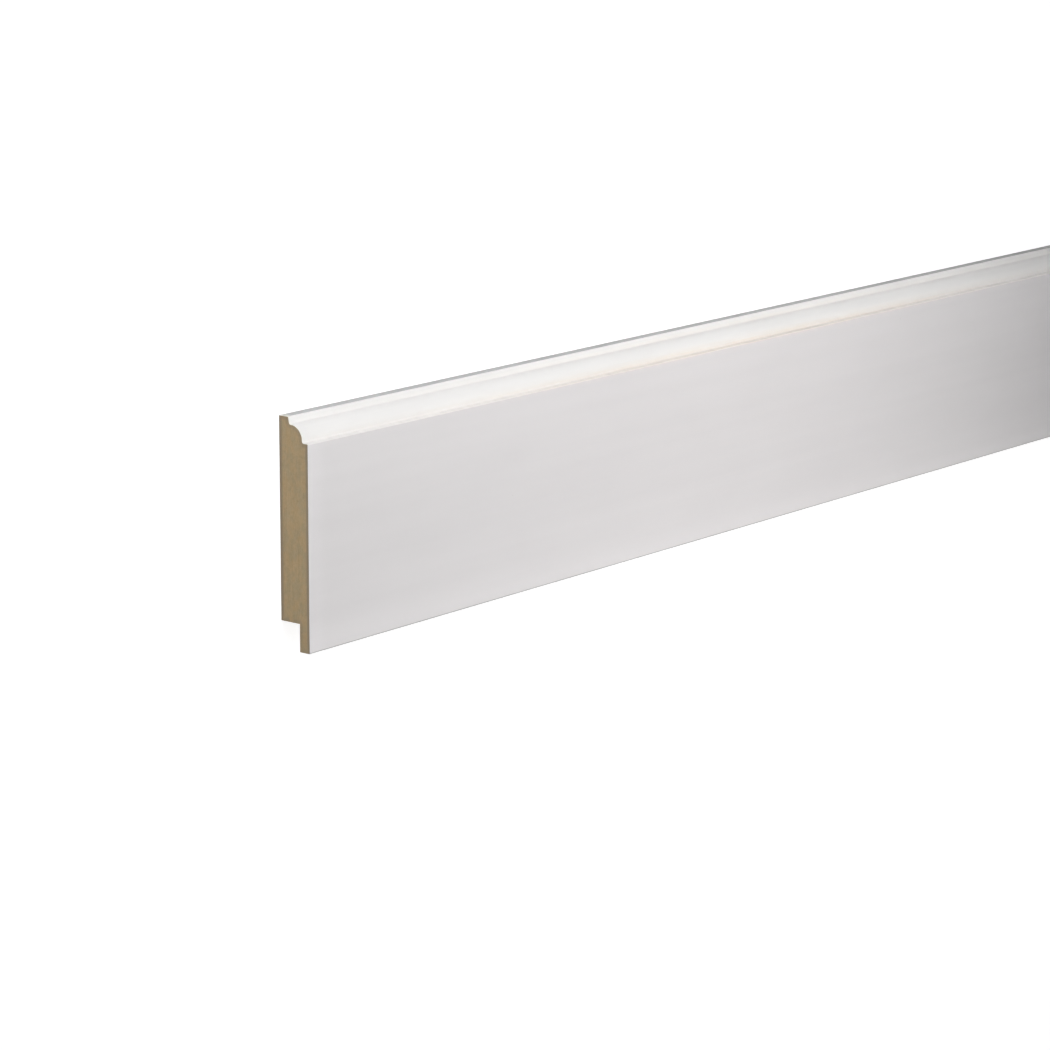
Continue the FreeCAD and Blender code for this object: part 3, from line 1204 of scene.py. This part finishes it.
@dataclass
class Studio:
    """A plain white floor, the light around it and its lamps."""

    lamps: list[Softbox]
    reach: float = 9.0
    floor_colour: Colour = (0.8, 0.8, 0.8)
    lit_share: Colour = (0.35, 0.35, 0.35)
    mottle: Grain = (40.0, 40.0, 40.0)
    mottle_gain: float = 1.04
    seen_glow: float = 0.88
    fill: float = 0.2

    def set_up(self) -> None:
        """Lays the floor, hangs the lamps, sets the light that fills the room and shows colours plainly."""
        bpy.context.scene.view_settings.view_transform = "Standard"
        for lamp in self.lamps:
            lamp.hang()
        self._lay_floor()
        self._fill_room()

    def _seen(self, graph: Graph) -> bpy.types.NodeSocket:
        """Tells whether a ray comes from the camera, from a mirror image or through glass.

        Args:
            graph: The nodes of the floor or the world.

        Returns:
            1 for such a ray and 0 for any other.
        """
        path = graph.add("LightPath").outputs
        seen = graph.maths("MAXIMUM", path["Is Camera Ray"], path["Is Glossy Ray"])
        return graph.maths("MAXIMUM", seen, path["Is Transmission Ray"])

    def _lay_floor(self) -> None:
        """Lays the floor: white as seen, with the board's soft shadow, and a plain matt bounce."""
        material = bpy.data.materials.new("white_floor")
        material.use_nodes = True
        graph = Graph(material.node_tree)
        material.node_tree.nodes.remove(material.node_tree.nodes["Principled BSDF"])
        grain = graph.cloud(graph.add("TexCoord").outputs["Object"], self.mottle, 3.0)
        tone = graph.blend(grain, self.lit_share, tuple(part * self.mottle_gain for part in self.lit_share))
        matt = graph.add("BsdfDiffuse", {"Color": tone}).outputs[0]
        glow = graph.add("Emission", {"Color": graph.opaque(WHITE), "Strength": self.seen_glow}).outputs[0]
        shown = graph.add("AddShader", {0: matt, 1: glow}).outputs[0]
        bounce = graph.add("BsdfDiffuse", {"Color": graph.opaque(self.floor_colour)}).outputs[0]
        mixed = graph.add("MixShader", {0: self._seen(graph), 1: bounce, 2: shown}).outputs[0]
        graph.tree.links.new(mixed, material.node_tree.nodes["Material Output"].inputs["Surface"])

        mesh = bpy.data.meshes.new("studio_floor")
        reach = self.reach
        mesh.from_pydata([(-reach, -reach, 0), (reach, -reach, 0), (reach, reach, 0), (-reach, reach, 0)],
                         [], [(0, 1, 2, 3)])
        mesh.materials.append(material)
        put_in_scene("studio_floor", mesh)

    def _fill_room(self) -> None:
        """Sets the world: white behind the board, and an even fill on it."""
        world = bpy.data.worlds.new("studio_room")
        world.use_nodes = True
        graph = Graph(world.node_tree)
        world.node_tree.nodes.remove(world.node_tree.nodes["Background"])
        white, fill = (
            graph.add("Background", {"Color": graph.opaque(WHITE), "Strength": strength}).outputs[0]
            for strength in (1.0, self.fill)
        )
        mixed = graph.add("MixShader", {0: self._seen(graph), 1: fill, 2: white}).outputs[0]
        graph.tree.links.new(mixed, world.node_tree.nodes["World Output"].inputs["Surface"])
        bpy.context.scene.world = world


def finishes(thickness: float) -> dict[Zone, bpy.types.Material]:
    """Builds the finish of each of the board's five zones.

    Args:
        thickness: The panel's thickness.

    Returns:
        The material of each zone.
    """
    effects = Effects()
    # The face's primer is a darker copy of the moulding's primer: painted shade on the flat face.
    face = PrimedFinish(
        name="primer_shaded_on_face", primer=(0.741, 0.723, 0.727), thin_primer=(0.88, 0.78, 0.755),
        painted_light_near_cut=(0.777, 0.757, 0.764), cut_reach=16.0, lines=0.007, roughness=0.46, specular=0.4,
        edge_lightening=0.065,
    )
    moulding = PrimedFinish(
        name="primer_on_moulding", primer=(0.94, 0.929, 0.92), thin_primer=(0.925, 0.835, 0.735),
        painted_light_near_cut=(0.96, 0.945, 0.89), cut_reach=1.5, lines=0.05, roughness=0.40, specular=0.45,
    )
    # The top edge's primer and thin colours are a darker grey copy of the primer: painted shade on that
    # edge.
    top_edge = PrimedFinish(
        name="primer_shaded_on_top_edge", primer=(0.563, 0.562, 0.568), thin_primer=(0.68, 0.66, 0.62),
        painted_light_near_cut=(0.85, 0.84, 0.77), cut_reach=5.0, lines=0.03, roughness=0.62, specular=0.15,
    )
    return {
        Zone.FACE: face.material(effects),
        Zone.MOULDING: moulding.material(effects),
        Zone.TOP_EDGE: top_edge.material(effects),
        Zone.SAWN_END: SawnFinish().material(effects, thickness),
        Zone.BARE_BACK: BareBackFinish().material(effects),
    }


def studio() -> Studio:
    """Chooses the lamps: the first six light the near end as in the photo, the others the rest of the board.

    Returns:
        The studio, not set up yet.
    """
    return Studio(lamps=[
        Softbox("low_front_lamp", (-1.0, -0.9, 1.2), (-0.95, 0.0, 0.0), 1.0, 1.0, 3.79),
        Softbox("near_edge_lamp", (-0.97, 0.75, 0.95), (-0.97, 0.0, 0.0), 0.88, 0.5, 0.5, spread=31.0),
        Softbox("near_over_lamp", (-0.90, 0.0, 1.2), (-0.90, 0.0, 0.0), 0.86, 0.5, 0.21, spread=20.0),
        Softbox("near_middle_lamp", (-0.86, 0.1, 1.2), (-0.86, 0.0, 0.0), 0.4, 0.4, 0.07, spread=25.0),
        Softbox("near_corner_lamp", (-1.5, 0.45, 0.25), (-1.15, 0.05, 0.01), 0.3, 0.3, 0.11, spread=60.0),
        Softbox("near_end_lamp", (-2.4, 0.2, 0.35), (-1.2, 0.0, 0.0), 0.6, 0.5, 0.11, spread=50.0),
        Softbox("far_edge_lamp", (0.51, 0.75, 0.95), (0.51, 0.0, 0.0), 1.7, 0.5, 1.0, spread=14.0),
        Softbox("far_front_lamp", (0.51, 0.0, 1.2), (0.51, 0.0, 0.0), 1.7, 0.5, 0.9, spread=14.0),
        Softbox("far_end_lamp", (2.4, 0.2, 0.35), (1.2, 0.0, 0.0), 0.6, 0.5, 0.2, spread=50.0),
    ])


def main() -> None:
    """Sets up the studio, builds the board and reports each piece."""
    logging.basicConfig(level=logging.INFO, format="%(name)s: %(message)s")
    PhotoCamera().stand()
    studio().set_up()
    low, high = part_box(NODE)
    section = MouldedSection(width=high[1] - low[1], thickness=high[2] - low[2])
    board = SkirtingBoard(section, half_length=(high[0] - low[0]) / 2)
    piece = board.build(finishes(section.thickness))
    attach(piece, "root")
    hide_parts(NODE)
    log.info("%s: %d points, %d faces", piece.name, len(piece.data.vertices), len(piece.data.polygons))


if __name__ == "__main__":
    main()
